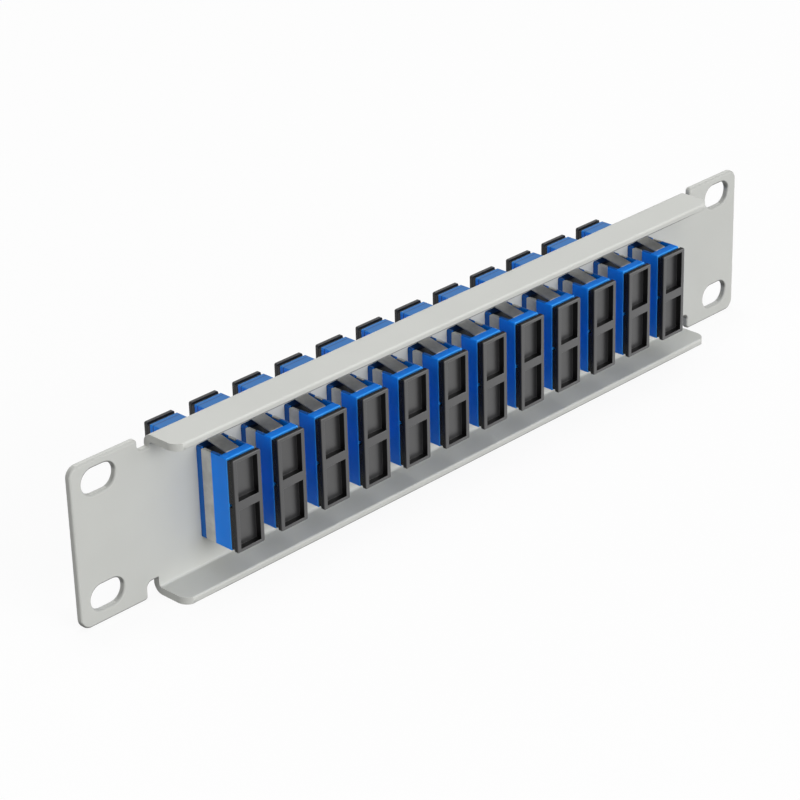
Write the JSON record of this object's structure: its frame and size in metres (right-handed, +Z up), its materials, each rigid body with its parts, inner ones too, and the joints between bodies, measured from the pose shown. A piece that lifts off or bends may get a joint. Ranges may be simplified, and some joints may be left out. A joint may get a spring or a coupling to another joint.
{
  "type": "fibre patch panel",
  "caption": "Low, wide rack panel of folded sheet with slotted ears, fitted with a row of blue duplex fibre adapters, each closed by black dust caps front and rear.",
  "frame": {"origin": "centre of the four rack slots, on the face of the ears that lies against the rack's rails", "axes": "+X along the panel, to the right as seen from inside the rack; +Z up; -Y the way the flanges point, into the rack"},
  "size_m": [0.254, 0.0329, 0.0444],
  "materials": {
    "panel_coat": "fine textured powder coat, satin",
    "housing_plastic": "moulded, satin",
    "insert_plastic": "moulded, satin",
    "clip_steel": "rolled spring steel, dull",
    "cap_plastic": "moulded, satin",
    "sleeve_ceramic": "polished ceramic"
  },
  "bodies": {
    "panel_body": {"panel": "panel_coat", "adapter_housing_01": "housing_plastic", "adapter_clip_01": "clip_steel", "adapter_housing_02": "housing_plastic", "adapter_clip_02": "clip_steel", "adapter_housing_03": "housing_plastic", "adapter_clip_03": "clip_steel", "adapter_housing_04": "housing_plastic", "adapter_clip_04": "clip_steel", "adapter_housing_05": "housing_plastic", "adapter_clip_05": "clip_steel", "adapter_housing_06": "housing_plastic", "adapter_clip_06": "clip_steel", "adapter_housing_07": "housing_plastic", "adapter_clip_07": "clip_steel", "adapter_housing_08": "housing_plastic", "adapter_clip_08": "clip_steel", "adapter_housing_09": "housing_plastic", "adapter_clip_09": "clip_steel", "adapter_housing_10": "housing_plastic", "adapter_clip_10": "clip_steel", "adapter_housing_11": "housing_plastic", "adapter_clip_11": "clip_steel", "adapter_housing_12": "housing_plastic", "adapter_clip_12": "clip_steel", "rear_latch_inserts": "insert_plastic", "front_latch_inserts": "insert_plastic", "alignment_sleeves": "sleeve_ceramic"},
    "rear_cap_01": {"rear_dust_cap_01": "cap_plastic"},
    "front_cap_01": {"front_dust_cap_01": "cap_plastic"},
    "rear_cap_02": {"rear_dust_cap_02": "cap_plastic"},
    "front_cap_02": {"front_dust_cap_02": "cap_plastic"},
    "rear_cap_03": {"rear_dust_cap_03": "cap_plastic"},
    "front_cap_03": {"front_dust_cap_03": "cap_plastic"},
    "rear_cap_04": {"rear_dust_cap_04": "cap_plastic"},
    "front_cap_04": {"front_dust_cap_04": "cap_plastic"},
    "rear_cap_05": {"rear_dust_cap_05": "cap_plastic"},
    "front_cap_05": {"front_dust_cap_05": "cap_plastic"},
    "rear_cap_06": {"rear_dust_cap_06": "cap_plastic"},
    "front_cap_06": {"front_dust_cap_06": "cap_plastic"},
    "rear_cap_07": {"rear_dust_cap_07": "cap_plastic"},
    "front_cap_07": {"front_dust_cap_07": "cap_plastic"},
    "rear_cap_08": {"rear_dust_cap_08": "cap_plastic"},
    "front_cap_08": {"front_dust_cap_08": "cap_plastic"},
    "rear_cap_09": {"rear_dust_cap_09": "cap_plastic"},
    "front_cap_09": {"front_dust_cap_09": "cap_plastic"},
    "rear_cap_10": {"rear_dust_cap_10": "cap_plastic"},
    "front_cap_10": {"front_dust_cap_10": "cap_plastic"},
    "rear_cap_11": {"rear_dust_cap_11": "cap_plastic"},
    "front_cap_11": {"front_dust_cap_11": "cap_plastic"},
    "rear_cap_12": {"rear_dust_cap_12": "cap_plastic"},
    "front_cap_12": {"front_dust_cap_12": "cap_plastic"}
  },
  "joints": [
    {"name": "rear_cap_01_pull", "type": "slide", "parent": "panel_body", "child": "rear_cap_01", "axis": [0, -1, 0], "range_m": [0, 0.008]},
    {"name": "front_cap_01_pull", "type": "slide", "parent": "panel_body", "child": "front_cap_01", "axis": [0, 1, 0], "range_m": [0, 0.008]},
    {"name": "rear_cap_02_pull", "type": "slide", "parent": "panel_body", "child": "rear_cap_02", "axis": [0, -1, 0], "range_m": [0, 0.008]},
    {"name": "front_cap_02_pull", "type": "slide", "parent": "panel_body", "child": "front_cap_02", "axis": [0, 1, 0], "range_m": [0, 0.008]},
    {"name": "rear_cap_03_pull", "type": "slide", "parent": "panel_body", "child": "rear_cap_03", "axis": [0, -1, 0], "range_m": [0, 0.008]},
    {"name": "front_cap_03_pull", "type": "slide", "parent": "panel_body", "child": "front_cap_03", "axis": [0, 1, 0], "range_m": [0, 0.008]},
    {"name": "rear_cap_04_pull", "type": "slide", "parent": "panel_body", "child": "rear_cap_04", "axis": [0, -1, 0], "range_m": [0, 0.008]},
    {"name": "front_cap_04_pull", "type": "slide", "parent": "panel_body", "child": "front_cap_04", "axis": [0, 1, 0], "range_m": [0, 0.008]},
    {"name": "rear_cap_05_pull", "type": "slide", "parent": "panel_body", "child": "rear_cap_05", "axis": [0, -1, 0], "range_m": [0, 0.008]},
    {"name": "front_cap_05_pull", "type": "slide", "parent": "panel_body", "child": "front_cap_05", "axis": [0, 1, 0], "range_m": [0, 0.008]},
    {"name": "rear_cap_06_pull", "type": "slide", "parent": "panel_body", "child": "rear_cap_06", "axis": [0, -1, 0], "range_m": [0, 0.008]},
    {"name": "front_cap_06_pull", "type": "slide", "parent": "panel_body", "child": "front_cap_06", "axis": [0, 1, 0], "range_m": [0, 0.008]},
    {"name": "rear_cap_07_pull", "type": "slide", "parent": "panel_body", "child": "rear_cap_07", "axis": [0, -1, 0], "range_m": [0, 0.008]},
    {"name": "front_cap_07_pull", "type": "slide", "parent": "panel_body", "child": "front_cap_07", "axis": [0, 1, 0], "range_m": [0, 0.008]},
    {"name": "rear_cap_08_pull", "type": "slide", "parent": "panel_body", "child": "rear_cap_08", "axis": [0, -1, 0], "range_m": [0, 0.008]},
    {"name": "front_cap_08_pull", "type": "slide", "parent": "panel_body", "child": "front_cap_08", "axis": [0, 1, 0], "range_m": [0, 0.008]},
    {"name": "rear_cap_09_pull", "type": "slide", "parent": "panel_body", "child": "rear_cap_09", "axis": [0, -1, 0], "range_m": [0, 0.008]},
    {"name": "front_cap_09_pull", "type": "slide", "parent": "panel_body", "child": "front_cap_09", "axis": [0, 1, 0], "range_m": [0, 0.008]},
    {"name": "rear_cap_10_pull", "type": "slide", "parent": "panel_body", "child": "rear_cap_10", "axis": [0, -1, 0], "range_m": [0, 0.008]},
    {"name": "front_cap_10_pull", "type": "slide", "parent": "panel_body", "child": "front_cap_10", "axis": [0, 1, 0], "range_m": [0, 0.008]},
    {"name": "rear_cap_11_pull", "type": "slide", "parent": "panel_body", "child": "rear_cap_11", "axis": [0, -1, 0], "range_m": [0, 0.008]},
    {"name": "front_cap_11_pull", "type": "slide", "parent": "panel_body", "child": "front_cap_11", "axis": [0, 1, 0], "range_m": [0, 0.008]},
    {"name": "rear_cap_12_pull", "type": "slide", "parent": "panel_body", "child": "rear_cap_12", "axis": [0, -1, 0], "range_m": [0, 0.008]},
    {"name": "front_cap_12_pull", "type": "slide", "parent": "panel_body", "child": "front_cap_12", "axis": [0, 1, 0], "range_m": [0, 0.008]}
  ]
}
